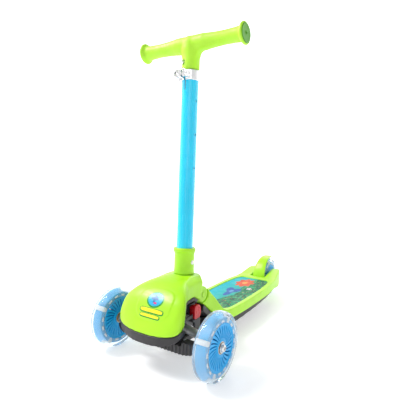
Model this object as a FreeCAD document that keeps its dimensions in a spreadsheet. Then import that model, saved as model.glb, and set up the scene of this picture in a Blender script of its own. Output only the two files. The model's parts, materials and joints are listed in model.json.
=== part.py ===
import FreeCAD, Part
import math
import os
import Sketcher

# Child's folding three-wheel kick scooter. Millimetres, +Z up, the scooter's nose towards -Y, X across it.
# Lengths along Y are counted from the front axle; every sub-part is then carried back by centre_y,
# so that the origin lies on the ground under the middle of the scooter.

V = FreeCAD.Vector
os.makedirs("parts", exist_ok=True)
doc = FreeCAD.newDocument("kick_scooter")

# ---------------------------------------------------------------- driving dimensions
DIMS = [
    ("centre_y", 236, "front axle to the middle of the scooter"),
    ("front_wheel_r", 60, "front tyre radius"),
    ("rear_wheel_r", 50, "rear tyre radius"),
    ("tyre_w", 24, "tyre width"),
    ("track_half", 120, "middle of the scooter to the middle of a front wheel"),
    ("rear_axle_y", 482, "front axle to rear axle"),
    ("axle_r", 4, "wheel axle radius"),
    ("running_gap", 0.05, "radial clearance of a shaft turning in its bore"),
    ("tube_foot_y", 60.9, "where the steering tube's axis meets the ground"),
    ("tube_lean", 3.33, "backward lean of the steering tube, degrees"),
    ("tube_r", 16.4, "steering tube outer radius"),
    ("tube_wall", 1.8, "steering tube wall"),
    ("tube_foot_s", 156, "lower end of the steering tube, along its axis"),
    ("tube_top_s", 551, "upper end of the steering tube, along its axis"),
    ("collar_foot_s", 153.8, "lower end of the collar"),
    ("collar_top_s", 205.5, "upper end of the collar"),
    ("collar_r", 20, "collar radius"),
    ("collar_lip_r", 22.2, "collar lip radius"),
    ("height_step", 65, "distance between two handlebar heights"),
    ("top_hole_s", 493, "uppermost height hole, along the tube"),
    ("hole_r", 2.6, "height hole radius"),
    ("bar_s", 602.9, "handlebar axis, along the tube"),
    ("bar_half", 118, "middle of the handlebar to the end of a grip"),
    ("grip_mid_r", 12.8, "grip radius in its waist"),
    ("grip_end_r", 14.8, "grip radius beside the flange"),
    ("flange_r", 20, "grip end flange radius"),
    ("stem_r", 17.25, "handlebar stem radius"),
    ("stem_foot_s", 552, "lower end of the handlebar stem"),
    ("snap_turn", -27, "snap button's turn about the stem from dead ahead, degrees"),
    ("inner_foot_s", 286, "lower end of the inner tube"),
    ("hinge_y", 76, "fold hinge behind the front axle"),
    ("hinge_z", 115, "fold hinge above the ground"),
    ("knuckle_r", 16, "fold knuckle radius"),
    ("knuckle_half", 26, "half width of the deck's knuckle"),
    ("fold_pin_r", 4, "fold pin radius"),
    ("deck_top", 60, "rim of the deck above the ground"),
    ("deck_edge_z", 38, "lower edge of the deck shell"),
    ("mat_top", 57.5, "tread of the grip mat"),
    ("mat_t", 2, "grip mat thickness"),
    ("slot_half", 21, "half width of the rear wheel slot"),
    ("slot_front_y", 417, "front end of the rear wheel slot"),
    ("fender_r", 54.5, "inner radius of the brake fender"),
    ("fender_t", 4, "brake fender thickness"),
    ("fender_pivot_y", 424, "brake pivot behind the front axle"),
    ("fender_pivot_z", 49, "brake pivot above the ground"),
    ("king_y", 30, "steering pivot behind the front axle"),
    ("king_z", 65, "steering pivot above the ground"),
    ("king_tilt", 35, "rise of the steering pivot's axis, degrees"),
    ("king_r", 4, "kingpin radius"),
    ("latch_travel", 6, "travel of the fold latch button"),
]
sheet = doc.addObject("Spreadsheet::Sheet", "dims")
for row, (alias, value, note) in enumerate(DIMS, 1):
    sheet.set("A%d" % row, alias)
    sheet.set("B%d" % row, str(value))
    sheet.set("C%d" % row, note)
    sheet.setAlias("B%d" % row, alias)
doc.recompute()

NODES = []


# ---------------------------------------------------------------- helpers
def value(formula):
    """The number a formula over the sheet gives now."""
    result = sheet.evalExpression(str(formula))
    return float(getattr(result, "Value", result))


def dim(formula):
    """A formula in which a bare name is a cell of the sheet, as an expression for another object."""
    return str(formula).replace("@", "dims.")


def bind(obj, prop, formula):
    """Bind one property; a plain number is bound too, so that every size reads the same way."""
    obj.setExpression(prop, dim(formula))


def num(formula):
    return value(str(formula).replace("@", ""))


def place(obj, base=(0, 0, 0), axis=(1, 0, 0), angle=0):
    """Placement from three formulas, a fixed rotation axis and a formula for the angle."""
    obj.Placement = FreeCAD.Placement(V(*[num(b) for b in base]), FreeCAD.Rotation(V(*axis), num(angle)))
    for letter, formula in zip("xyz", base):
        bind(obj, "Placement.Base." + letter, formula)
    if str(angle) != "0":
        bind(obj, "Placement.Rotation.Angle", angle)
    return obj


PLANES = {
    "XY": FreeCAD.Rotation(),
    "XZ": FreeCAD.Rotation(V(1, 0, 0), 90),
    "YZ": FreeCAD.Rotation(V(1, 1, 1), 120),
}


def polygon(name, plane, points):
    """Closed polygon sketch whose corners are held by formulas."""
    sketch = doc.addObject("Sketcher::SketchObject", name)
    sketch.Placement = FreeCAD.Placement(V(0, 0, 0), PLANES[plane])
    flat = [V(num(u), num(v), 0) for u, v in points]
    count = len(flat)
    for i in range(count):
        sketch.addGeometry(Part.LineSegment(flat[i], flat[(i + 1) % count]))
    for i in range(count):
        sketch.addConstraint(Sketcher.Constraint("Coincident", i, 2, (i + 1) % count, 1))
    for i, (u, v) in enumerate(points):
        for kind, formula, now in (("DistanceX", u, flat[i].x), ("DistanceY", v, flat[i].y)):
            held = sketch.addConstraint(Sketcher.Constraint(kind, -1, 1, i, 1, now))
            sketch.setExpression("Constraints[%d]" % held, dim(formula))
    return sketch


def curve(points, closed=False):
    spline = Part.BSplineCurve()
    spline.interpolate([V(u, v, 0) for u, v in points], PeriodicFlag=closed)
    return spline


def outline(name, plane, half_widths):
    """Closed outline, symmetric about the second axis, from (position, half width) pairs."""
    sketch = doc.addObject("Sketcher::SketchObject", name)
    sketch.Placement = FreeCAD.Placement(V(0, 0, 0), PLANES[plane])
    right = [(w, p) for p, w in half_widths]
    left = [(-w, p) for p, w in reversed(half_widths)]
    sides = (right, left)
    for side in sides:
        sketch.addGeometry(curve(side))
    for tail, head in ((right[-1], left[0]), (left[-1], right[0])):
        sketch.addGeometry(Part.LineSegment(V(tail[0], tail[1], 0), V(head[0], head[1], 0)))
    return sketch


def extrude(name, sketch, direction, start, end):
    """Solid between two positions along a direction normal to the sketch."""
    solid = doc.addObject("Part::Extrusion", name)
    solid.Base = sketch
    solid.DirMode = "Custom"
    solid.Dir = V(*direction)
    solid.Solid = True
    bind(solid, "LengthFwd", end)
    bind(solid, "LengthRev", "-(%s)" % start)
    return solid


def revolve(name, sketch, axis):
    solid = doc.addObject("Part::Revolution", name)
    solid.Source = sketch
    solid.Axis = V(*axis)
    solid.Base = V(0, 0, 0)
    solid.Angle = 360
    solid.Solid = True
    return solid


def turned_x(name, profile):
    """Solid turned about X from (position along X, radius) pairs."""
    return revolve(name, polygon(name + "_profile", "XY", profile), (1, 0, 0))


def turned_z(name, profile):
    """Solid turned about Z from (radius, position along Z) pairs."""
    return revolve(name, polygon(name + "_profile", "XZ", profile), (0, 0, 1))


def box(name, xs, ys, zs):
    solid = doc.addObject("Part::Box", name)
    for prop, (low, high) in zip(("Length", "Width", "Height"), (xs, ys, zs)):
        bind(solid, prop, "(%s)-(%s)" % (high, low))
    return place(solid, (xs[0], ys[0], zs[0]))


def rod_x(name, radius, xs, y, z):
    """Cylinder along X."""
    solid = doc.addObject("Part::Cylinder", name)
    bind(solid, "Radius", radius)
    bind(solid, "Height", "(%s)-(%s)" % (xs[1], xs[0]))
    return place(solid, (xs[0], y, z), (0, 1, 0), 90)


def rod_z(name, radius, x, y, zs):
    solid = doc.addObject("Part::Cylinder", name)
    bind(solid, "Radius", radius)
    bind(solid, "Height", "(%s)-(%s)" % (zs[1], zs[0]))
    return place(solid, (x, y, zs[0]))


def rod_between(name, radius, start, end):
    """Cylinder of a bound radius between two fixed points."""
    a, b = V(*start), V(*end)
    solid = doc.addObject("Part::Cylinder", name)
    bind(solid, "Radius", radius)
    solid.Height = (b - a).Length
    solid.Placement = FreeCAD.Placement(a, FreeCAD.Rotation(V(0, 0, 1), b - a))
    return solid


def fuse(name, *solids):
    joined = doc.addObject("Part::MultiFuse", name)
    joined.Shapes = list(solids)
    return joined


def common(name, *solids):
    kept = doc.addObject("Part::MultiCommon", name)
    kept.Shapes = list(solids)
    return kept


def cut(name, base, *tools):
    """base less every tool."""
    tool = tools[0] if len(tools) == 1 else fuse(name + "_tools", *tools)
    left = doc.addObject("Part::Cut", name)
    left.Base = base
    left.Tool = tool
    return left


def carried(name, solid):
    """The same solid under a placement of its own."""
    carrier = doc.addObject("Part::Compound", name)
    carrier.Links = [solid]
    return carrier


def spun(name, solid, angle):
    """The same solid turned about Z."""
    return place(carried(name, solid), (0, 0, 0), (0, 0, 1), angle)


def node(name, solid, base=("0", "-@centre_y", "0"), axis=(1, 0, 0), angle="0"):
    """A sub-part: its label, its own placement and its file."""
    solid.Label = name
    place(solid, base, axis, angle)
    NODES.append((name, solid))
    return solid


def tube_node(name, solid):
    """A sub-part drawn about the steering tube, Z along the tube."""
    return node(name, solid, ("0", "@tube_foot_y-@centre_y", "0"), (1, 0, 0), "-@tube_lean")


def king_node(name, solid):
    """A sub-part drawn about the steering pivot, Z along the kingpin, up and forward."""
    return node(name, solid, ("0", "@king_y-@centre_y", "@king_z"), (1, 0, 0), "90-@king_tilt")


def wheel_node(name, solid, x, y, z):
    return node(name, solid, (x, "%s-@centre_y" % y, z))


# ---------------------------------------------------------------- deck
DECK_PLAN = [(52, 43.5), (76, 44), (100, 46), (130, 51), (150, 55.5), (170, 58.6), (200, 61.4), (240, 63), (290, 63.4),
             (330, 63), (370, 61), (400, 57.4), (430, 52.6), (455, 48), (475, 43), (490, 38)]
DECK_SIDE = [("@hinge_y", "@hinge_z+@knuckle_r"), ("@hinge_y+11", "@hinge_z+11.5"), (118, 94), (130, 79), (140, 68),
             (150, "@deck_top+2.4"), (160, "@deck_top"), (400, "@deck_top"), (425, "@deck_top+3"), (450, 70),
             (466, 74), (480, 74), (488, 70), (491, 60), (489, 45), (482, 34), (470, 30), (450, 30), (430, 34),
             (410, "@deck_edge_z"), (132, "@deck_edge_z"), (124, 50), (114, 62), (104, 72), ("@hinge_y-5", "@hinge_z-15")]
MAT_PLAN = [(160, 38), (162, 42), (168, 46.4), (180, 49), (220, 51.6), (260, 52.4), (300, 52.2), (340, 50.6), (365, 48.4),
            (385, 45), (397, 40), (402, 34)]

deck_blank = common("deck_blank",
                    extrude("deck_side", polygon("deck_side_sketch", "YZ", DECK_SIDE), (1, 0, 0), -70, 70),
                    extrude("deck_plan", outline("deck_plan_sketch", "XY", DECK_PLAN), (0, 0, 1), 20, 140))
knuckle = rod_x("deck_knuckle", "@knuckle_r", ("-@knuckle_half", "@knuckle_half"), "@hinge_y", "@hinge_z")
cheek_cuts = [rod_x("cheek_cut_%s" % side, "@knuckle_r+0.4", xs, "@hinge_y", "@hinge_z")
              for side, xs in (("left", (-60, "-@knuckle_half")), ("right", ("@knuckle_half", 60)))]
mat_pocket = extrude("mat_pocket", outline("mat_pocket_sketch", "XY", [(p, w + 0.4) for p, w in MAT_PLAN]),
                     (0, 0, 1), "@mat_top-@mat_t", 80)
wheel_slot = box("wheel_slot", ("-@slot_half", "@slot_half"), ("@slot_front_y", 520), (20, 120))
axle_bore = rod_x("rear_axle_bore", "@axle_r", (-60, 60), "@rear_axle_y", "@rear_wheel_r")
brake_bore = rod_x("brake_pin_bore", 2.5, (-31, 31), "@fender_pivot_y", "@fender_pivot_z")
fold_bore = rod_x("fold_bore", "@fold_pin_r+@running_gap", (-60, 60), "@hinge_y", "@hinge_z")
axle_counterbores = [rod_x("axle_counterbore_%d" % i, 8, xs, "@rear_axle_y", "@rear_wheel_r")
                     for i, xs in enumerate(((-60, -36), (36, 60)))]
deck_shell = cut("deck_shell_solid", fuse("deck_joined", cut("deck_open", deck_blank, *cheek_cuts), knuckle),
                 mat_pocket, wheel_slot, axle_bore, brake_bore, fold_bore, *axle_counterbores)
node("deck_shell", deck_shell)

UNDER_SIDE = [(96, 58), (110, 58), (120, 51), (127, "@deck_edge_z-0.3"), (408, "@deck_edge_z-0.3"), (404, 31), (300, 27),
              (190, 22), (124, 21), (100, 30), (90, 44)]
UNDER_PLAN = [(85, 36), (100, 40), (130, 46), (170, 53), (240, 58.4), (330, 58.4), (400, 52.4), (415, 50)]
underbody = common("underbody_solid",
                   extrude("under_side", polygon("under_side_sketch", "YZ", UNDER_SIDE), (1, 0, 0), -70, 70),
                   extrude("under_plan", outline("under_plan_sketch", "XY", UNDER_PLAN), (0, 0, 1), 10, 80))
node("deck_underbody", underbody)
node("grip_mat", extrude("mat_solid", outline("mat_sketch", "XY", MAT_PLAN), (0, 0, 1),
                         "@mat_top-@mat_t+0.02", "@mat_top"))

NECK_LINER = [("@hinge_y+1", "@hinge_z-20.8"), (103, 71.7), (113, 61.6), (101, 58.6), (93, 66),
              ("@hinge_y-1", "@hinge_z-34")]
node("neck_liner", extrude("neck_liner_solid", polygon("neck_liner_sketch", "YZ", NECK_LINER), (1, 0, 0), -43, 43))

SCREW_SPOTS = [(x, y, z) for y, z in ((150, 21.2), (260, 25), (370, 29.4)) for x in (-36, 36)]
screws = []
for i, (x, y, z) in enumerate(SCREW_SPOTS):
    head = rod_z("deck_screw_head_%d" % i, 4, x, y, (z - 1.2, z + 1))
    drive = box("deck_screw_drive_%d" % i, (x - 2.6, x + 2.6), (y - 0.5, y + 0.5), (z - 2, z - 0.5))
    screws.append(cut("deck_screw_%d" % i, head, drive))

# ---------------------------------------------------------------- rear axle and brake
REAR_BOLT = [(-41, 0), (-41, 6), (-36.2, 6.5), (-36.2, "@axle_r"), (41, "@axle_r"), (41, 0)]
wheel_node("rear_axle_bolt", turned_x("rear_axle_solid", REAR_BOLT), 0, "@rear_axle_y", "@rear_wheel_r")
REAR_NUT = [(36.2, "@axle_r"), (36.2, 6.8), (39.5, 6.8), (40.5, 6), (40.5, "@axle_r")]
wheel_node("rear_axle_nut", turned_x("rear_nut_solid", REAR_NUT), 0, "@rear_axle_y", "@rear_wheel_r")
SPACERS = [turned_x("rear_spacer_%d" % i, [(a, "@axle_r"), (a, 7), (b, 7), (b, "@axle_r")])
           for i, (a, b) in enumerate(((-20.7, -11.4), (11.4, 20.7)))]
wheel_node("rear_spacers", fuse("rear_spacers_solid", *SPACERS), 0, "@rear_axle_y", "@rear_wheel_r")

node("brake_pin", rod_x("brake_pin_solid", 2.5, (-30, 30), "@fender_pivot_y", "@fender_pivot_z"),
     (-30, "@fender_pivot_y-@centre_y", "@fender_pivot_z"), (0, 1, 0), "90")


def fender_sector(name, radius, width):
    """Sector of a disc about the rear axle, from its rear tip over the tyre to its base."""
    disc = doc.addObject("Part::Cylinder", name)
    bind(disc, "Radius", radius)
    bind(disc, "Height", width)
    disc.Angle = 108
    turn = FreeCAD.Rotation(V(0, 1, 0), 90).multiply(FreeCAD.Rotation(V(0, 0, 1), 155))
    disc.Placement = FreeCAD.Placement(V(-0.5 * num(width), num("@rear_axle_y"), num("@rear_wheel_r")), turn)
    bind(disc, "Placement.Base.y", "@rear_axle_y")
    bind(disc, "Placement.Base.z", "@rear_wheel_r")
    return disc


FENDER_PLAN = [(415, 19.5), (428, 19), (440, 17.6), (455, 16), (470, 14.6), (485, 13.2), (497, 11.8), (504, 10), (508, 8)]
fender_shell = common("fender_shell",
                      cut("fender_band", fender_sector("fender_outer", "@fender_r+@fender_t", 40),
                          fender_sector("fender_inner", "@fender_r", 40)),
                      extrude("fender_plan", outline("fender_plan_sketch", "XY", FENDER_PLAN), (0, 0, 1), 20, 130))
FENDER_ROOT = [("@fender_pivot_y-5", "@fender_pivot_z-1"), ("@fender_pivot_y-3", "@fender_pivot_z+9"),
               ("@fender_pivot_y+1.5", "@fender_pivot_z+19"), ("@fender_pivot_y+5", "@fender_pivot_z+19"),
               ("@fender_pivot_y+3.1", "@fender_pivot_z+5"), ("@fender_pivot_y+3.1", "@fender_pivot_z-1")]
fender_root = extrude("fender_root", polygon("fender_root_sketch", "YZ", FENDER_ROOT), (1, 0, 0), -19.5, 19.5)
fender_boss = rod_x("fender_boss", 4.6, (-19.5, 19.5), "@fender_pivot_y", "@fender_pivot_z")
fender_bore = rod_x("fender_bore", "2.5+@running_gap", (-30, 30), "@fender_pivot_y", "@fender_pivot_z")
fender_gap = rod_x("fender_gap", "@fender_r", (-30, 30), "@rear_axle_y", "@rear_wheel_r")
node("brake_fender", cut("fender_solid", fuse("fender_joined", fender_shell, fender_root, fender_boss),
                         fender_bore, fender_gap))


# ---------------------------------------------------------------- wheels
def wheel(prefix, radius, x, y, z, blocks, first_block):
    """Clear tyre, coloured core ring, vaned hub, bearings and light modules of one wheel."""
    half = "@tyre_w/2"
    tyre = [("-" + half, "%s-11.5" % radius), ("-%s" % half, "%s-5" % radius), ("-(%s-1.2)" % half, "%s-2.2" % radius),
            ("-(%s-4)" % half, "%s-0.5" % radius), ("-(%s-8)" % half, radius), ("%s-8" % half, radius),
            ("%s-4" % half, "%s-0.5" % radius), ("%s-1.2" % half, "%s-2.2" % radius), (half, "%s-5" % radius),
            (half, "%s-11.5" % radius), ("%s-2" % half, "%s-16" % radius), ("%s-3" % half, "%s-18" % radius),
            ("-(%s-3)" % half, "%s-18" % radius), ("-(%s-2)" % half, "%s-16" % radius)]
    wheel_node(prefix + "_tyre", turned_x(prefix + "_tyre_solid", tyre), x, y, z)
    core = [(-8.6, "%s-17.9" % radius), (-8.6, "%s-9.5" % radius), (8.6, "%s-9.5" % radius), (8.6, "%s-17.9" % radius)]
    wheel_node(prefix + "_core_ring", turned_x(prefix + "_core_solid", core), x, y, z)
    modules = []
    for i in range(blocks):
        block = box("%s_block_%d" % (prefix, i), (-10.4, 10.4), (-4.5, 4.5), ("%s-14" % radius, "%s-7.5" % radius))
        turned = carried("%s_module_%d" % (prefix, i), block)
        place(turned, (0, 0, 0), (1, 0, 0), "%g" % (360.0 * i / blocks + first_block))
        modules.append(turned)
    wheel_node(prefix + "_light_modules", fuse(prefix + "_modules_solid", *modules), x, y, z)
    rim = [(-10.5, "%s-21" % radius), (-10.5, "%s-18.05" % radius), (10.5, "%s-18.05" % radius), (10.5, "%s-21" % radius),
           (6, "%s-24" % radius), (-6, "%s-24" % radius)]
    boss = [(-11, 11), (-11, 14), (-8.5, 16), (8.5, 16), (11, 14), (11, 11), (4, 11), (4, 9), (-4, 9), (-4, 11)]
    vanes = []
    vane_count = 28
    for i in range(vane_count):
        vane = box("%s_vane_%d" % (prefix, i), (-8.5, 8.5), (-1.9, 1.9), (14.5, "%s-20" % radius))
        raked = carried("%s_raked_%d" % (prefix, i), vane)
        raked.Placement = FreeCAD.Placement(V(0, 0, 0), FreeCAD.Rotation(V(1, 0, 0), 360.0 * i / vane_count).multiply(
            FreeCAD.Rotation(V(0, 0, 1), 10)))
        vanes.append(raked)
    hub = fuse(prefix + "_hub_solid", turned_x(prefix + "_rim", rim), turned_x(prefix + "_boss", boss), *vanes)
    wheel_node(prefix + "_hub", hub, x, y, z)
    races = [turned_x("%s_race_%d" % (prefix, i), [(a, "@axle_r+@running_gap"), (a, 11), (b, 11),
                                                  (b, "@axle_r+@running_gap")])
             for i, (a, b) in enumerate(((-11, -4), (4, 11)))]
    wheel_node(prefix + "_bearings", fuse(prefix + "_races", *races), x, y, z)


wheel("left", "@front_wheel_r", "-@track_half", "0", "@front_wheel_r", 4, -35)
wheel("right", "@front_wheel_r", "@track_half", "0", "@front_wheel_r", 4, -29)
wheel("rear", "@rear_wheel_r", "0", "@rear_axle_y", "@rear_wheel_r", 4, 10)

# ---------------------------------------------------------------- hood
HOOD_STATIONS = [  # crown of the shield: behind the axle, above the ground, half width, depth of the rolled edge
    (48.5, 155.6, 26, 10), (34, 154.2, 35, 10), (18, 151, 45, 10.5), (2, 146, 54.5, 11.5), (-13, 138.5, 63, 12.5),
    (-25, 129, 69, 13.5), (-34.5, 116.5, 72.5, 15), (-42.5, 102, 74, 17), (-48.5, 88, 73, 19), (-53, 76, 69, 21),
    (-55, 70, 66, 22)]
HOOD_EDGE = [(72.3, 8), (72.8, 25), (74.4, 44), (76.4, 56), (78.6, 63), (82, 68), (88, 71.6), (96, 74.5), (110, 80),
             (170, 80)]
SHIELD_WALL = 4.0
SPREAD = [0.0, 0.2, 0.4, 0.6, 0.76, 0.88, 0.96, 1.0]


def shield_section(index):
    """Crescent across the hood, square to the crown line."""
    y, z, half, depth = HOOD_STATIONS[index]
    before = HOOD_STATIONS[max(index - 1, 0)]
    after = HOOD_STATIONS[min(index + 1, len(HOOD_STATIONS) - 1)]
    slope = math.atan2(before[1] - after[1], before[0] - after[0])
    outer = [(half * t, -depth * (1 - (1 - t ** 2.6) ** (1 / 2.6))) for t in SPREAD]
    inner_half, inner_depth = half - 6.0, depth
    inner = [(inner_half * t, -SHIELD_WALL - (inner_depth - SHIELD_WALL) * (1 - (1 - t ** 2.6) ** (1 / 2.6)))
             for t in SPREAD]
    top = [(-u, v) for u, v in reversed(outer[1:])] + outer
    low = [(-u, v) for u, v in reversed(inner[1:])] + inner
    sketch = doc.addObject("Sketcher::SketchObject", "shield_section_%d" % index)
    sketch.addGeometry(curve(top))
    sketch.addGeometry(Part.LineSegment(V(top[-1][0], top[-1][1], 0), V(low[-1][0], low[-1][1], 0)))
    sketch.addGeometry(curve(list(reversed(low))))
    sketch.addGeometry(Part.LineSegment(V(low[0][0], low[0][1], 0), V(top[0][0], top[0][1], 0)))
    across = FreeCAD.Rotation(V(1, 0, 0), 90 + math.degrees(slope))
    sketch.Placement = FreeCAD.Placement(V(0, y, z), across)
    return sketch


shield = doc.addObject("Part::Loft", "shield_loft")
shield.Sections = [shield_section(i) for i in range(len(HOOD_STATIONS))]
shield.Solid = True
shield.Ruled = False
hood_edge = extrude("hood_edge", outline("hood_edge_sketch", "XZ", HOOD_EDGE), (0, -1, 0), -100, 100)
node("hood_shield", common("shield_solid", shield, hood_edge))

CORE_SIDE = [("@hinge_y-5", "@hinge_z+17.2"), ("@hinge_y+6.2", "@hinge_z+25"), (89, 146.5), (90, 151.4), (50, 153.6),
             (34, 150.6), (19, 147), (4, 142), (-10.5, 134.8), (-21.6, 126), (-30.6, 114.4), (-38.6, 100.4), (-44.6, 87),
             (-48, 78), (-40, 80), (-34, 98), (-22, 112), (-4, 119), (19, 118.6), (46, 118), (58, 110),
             ("@hinge_y-12", "@hinge_z")]
CORE_FRONT = [(70, 50), (80, 58), (92, 64), (106, 65), (118, 62), (126, 57), (134, 51), (141, 45), (148, 36.5), (154, 28),
              (160, 23)]
CORE_PLAN = [(-50, 26), (-44, 42), (-38, 54), (-31, 61.5), (-22, 64.5), (-10, 61.5), (4, 54.5), (18, 48), (34, 45), (60, 44),
             (96, 43.5)]

core_blank = common("core_blank",
                    extrude("core_side", polygon("core_side_sketch", "YZ", CORE_SIDE), (1, 0, 0), -80, 80),
                    extrude("core_front", outline("core_front_sketch", "XZ", CORE_FRONT), (0, -1, 0), -100, 60),
                    extrude("core_plan", outline("core_plan_sketch", "XY", CORE_PLAN), (0, 0, 1), 40, 170))
core_cheeks = [rod_x("core_cheek_%s" % side, "@knuckle_r", xs, "@hinge_y", "@hinge_z")
               for side, xs in (("left", (-43.5, "-(@knuckle_half+0.4)")), ("right", ("@knuckle_half+0.4", 43.5)))]
core_room = rod_x("core_room", "@knuckle_r+0.5", ("-(@knuckle_half+0.4)", "@knuckle_half+0.4"), "@hinge_y", "@hinge_z")
core_cavity = box("core_cavity", (-46, 46), (-60, 19), (40, 112))
core_bore = rod_x("core_bore", "@fold_pin_r", (-60, 60), "@hinge_y", "@hinge_z")
SHOULDER = [(20, 93), (48, 70), (64, 60), (64, 120), (20, 120)]
shoulder_cuts = [extrude("shoulder_cut_%d" % i, polygon("shoulder_sketch_%d" % i, "XY", [(side * x, y) for x, y in SHOULDER][::side]),
                         (0, 0, 1), 131.5, 170) for i, side in enumerate((-1, 1))]
node("hood_core", cut("core_solid", fuse("core_joined", cut("core_shouldered", core_blank, *shoulder_cuts), *core_cheeks),
                      core_room, core_cavity, core_bore))

FOLD_PIN = [(-43.2, 0), (-43.2, "@fold_pin_r-0.5"), (-42.7, "@fold_pin_r-0.01"), (42.7, "@fold_pin_r-0.01"),
            (43.2, "@fold_pin_r-0.5"), (43.2, 0)]
wheel_node("fold_pin", turned_x("fold_pin_solid", FOLD_PIN), 0, "@hinge_y", "@hinge_z")

LINER_SIDE = [(1, 90.6), (6.4, 97.6), (19.4, 116.6), (46, 117.6), (57.5, 109.6), (54, 103.6), (44, 110.4), (22.6, 109.6),
              (15, 97), (10.5, 90.6)]
node("hood_liner", extrude("hood_liner_solid", polygon("hood_liner_sketch", "YZ", LINER_SIDE), (1, 0, 0), -43, 43))

# ---------------------------------------------------------------- front base and bumper
BUMPER_ARC = [(0, -55.5), (20, -54.6), (40, -51), (58, -45), (70, -37.4), (78, -29)]


def bumper_band(name, inset, zs):
    """Crescent in plan between the bumper's outer arc and the arc inset from it."""
    outer = [(-x, y) for x, y in reversed(BUMPER_ARC[1:])] + BUMPER_ARC
    shrink = 1 - inset / 78.0
    inner = [(x * shrink, (y + inset) if abs(x) < 76 else y + 0.5 * inset) for x, y in outer]
    sketch = doc.addObject("Sketcher::SketchObject", name + "_sketch")
    sketch.addGeometry(curve(outer))
    sketch.addGeometry(Part.LineSegment(V(outer[-1][0], outer[-1][1], 0), V(inner[-1][0], inner[-1][1], 0)))
    sketch.addGeometry(curve(list(reversed(inner))))
    sketch.addGeometry(Part.LineSegment(V(inner[0][0], inner[0][1], 0), V(outer[0][0], outer[0][1], 0)))
    return extrude(name, sketch, (0, 0, 1), zs[0], zs[1])


BUMPER_FRONT = [(55.5, 16), (57, 34), (60, 48), (64.5, 61), (69, 67), (74, 71), (80, 74), (86, 76)]
bumper = cut("bumper", common("bumper_curl", bumper_band("bumper_wall", 5, (50, 86)),
                              extrude("bumper_front", outline("bumper_front_sketch", "XZ", BUMPER_FRONT), (0, -1, 0), -10, 70)),
             hood_edge)
shelf = common("shelf", box("shelf_blank", (-56, 56), (-52, -16), (64, 67.5)),
               bumper_band("shelf_plan", 40, (60, 70)))
tray = cut("tray", box("tray_blank", (-45.5, 45.5), (-20, 20), (81.5, 85.6)),
           box("tray_gap", (-20, 20), (3, 70), (70, 95)))
riser = box("riser", (-45.5, 45.5), (-20, -16), (64, 85.6))
SKIRT_SIDE = [(-20, 64), (-16, 85.6), (30, 87), (38.4, 87), (38.4, 75.3), (60, 75.3), (64, 70), (60, 52), (44, 50), (42, 70),
              (36.8, 72), (36.6, 80), (-1, 80), (-3, 64)]
skirts = [extrude("skirt_%d" % i, polygon("skirt_sketch_%d" % i, "YZ", SKIRT_SIDE), (1, 0, 0), a, b)
          for i, (a, b) in enumerate(((-45.5, -41), (41, 45.5)))]
CHEEK_SIDE = [(-38, 66), (-38, 79), (-32.6, 98), (-21, 111.4), (-3.6, 118.4), (14, 118), (9, 97), (2, 87), (-3, 80), (-16, 80),
              (-20, 66)]
cheeks = [extrude("cheek_%d" % i, polygon("cheek_sketch_%d" % i, "YZ", CHEEK_SIDE), (1, 0, 0), a, b)
          for i, (a, b) in enumerate(((-50, -45.5), (45.5, 50)))]
sills = [box("sill_%d" % i, xs, (6, 64), (40, 51)) for i, xs in enumerate(((-45.5, -41), (41, 45.5)))]
belly = box("belly", (-45.5, 45.5), (6, 64), (40, 43))
front_base = fuse("front_base_solid", bumper, shelf, tray, riser, belly, *skirts, *cheeks, *sills)
node("front_base", front_base)

# ---------------------------------------------------------------- steering pivot
ears = [turned_z("bracket_ear_%d" % i, [("@king_r", a), (13, a), (13, b), ("@king_r", b)])
        for i, (a, b) in enumerate(((-19, -14.4), (14.4, 19)))]
web = box("bracket_web", (-13, 13), (14.4, 19.5), (-19, 19))
cross_member = box("bracket_cross_member", (-41, 41), (14.4, 19), (3, 13))
ear_roots = [box("bracket_root_%d" % i, (-13, 13), (4, 16), zs) for i, zs in enumerate(((-19, -14.4), (14.4, 19)))]
bracket = fuse("bracket_joined", web, cross_member, *ear_roots, *ears)
king_node("pivot_bracket", cut("bracket_solid", bracket, rod_z("bracket_bore", "@king_r", 0, 0, (-25, 25))))
bushes = [turned_z("bush_%d" % i, [("@king_r+0.3", a), (10, a), (11.5, 0.5 * (a + b)), (10, b), ("@king_r+0.3", b)])
          for i, (a, b) in enumerate(((-14.2, -9.5), (9.5, 14.2)))]
king_node("pivot_bushes", fuse("bushes_solid", *bushes))
KINGPIN = [(0, -23), (6.5, -23), (6.5, -19.2), ("@king_r", -19.2), ("@king_r", 19.2), (6.5, 19.2), (6.5, 23), (4, 25), (0, 25)]
king_node("kingpin", turned_z("kingpin_solid", KINGPIN))

# ---------------------------------------------------------------- axle hanger
TILT = math.radians(num("@king_tilt"))


def pivot_point(along):
    """Point on the steering pivot's axis, counted up and forward from its middle."""
    return (0, num("@king_y") - along * math.cos(TILT), num("@king_z") + along * math.sin(TILT))


hanger_boss = rod_between("hanger_boss", 12, pivot_point(-9.2), pivot_point(9.2))
arms = []
for side in (-1, 1):
    points = [(side * 4, 30, 65), (side * 68, 16, 63), (side * 96, 0, 60)]
    word = "right" if side > 0 else "left"
    arms.append(rod_between("arm_inner_" + word, 8.2, points[0], points[1]))
    arms.append(rod_between("arm_outer_" + word, 7.4, points[1], points[2]))
    elbow = doc.addObject("Part::Sphere", "elbow_" + word)
    elbow.Radius = 8.2
    elbow.Placement.Base = V(*points[1])
    arms.append(elbow)
    arms.append(rod_x("arm_end_" + word, 7.6, (94, 108.6) if side > 0 else (-108.6, -94), 0, "@front_wheel_r"))
king_bore = rod_between("king_bore", "@king_r+@running_gap", pivot_point(-30), pivot_point(30))
bush_rooms = [rod_between("bush_room_%d" % i, 13, pivot_point(a), pivot_point(b)) for i, (a, b) in enumerate(((-20, -9.3), (9.3, 20)))]
axle_holes = [rod_x("axle_hole_%d" % i, "@axle_r", xs, 0, "@front_wheel_r") for i, xs in enumerate(((-120, -88), (88, 120)))]
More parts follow.
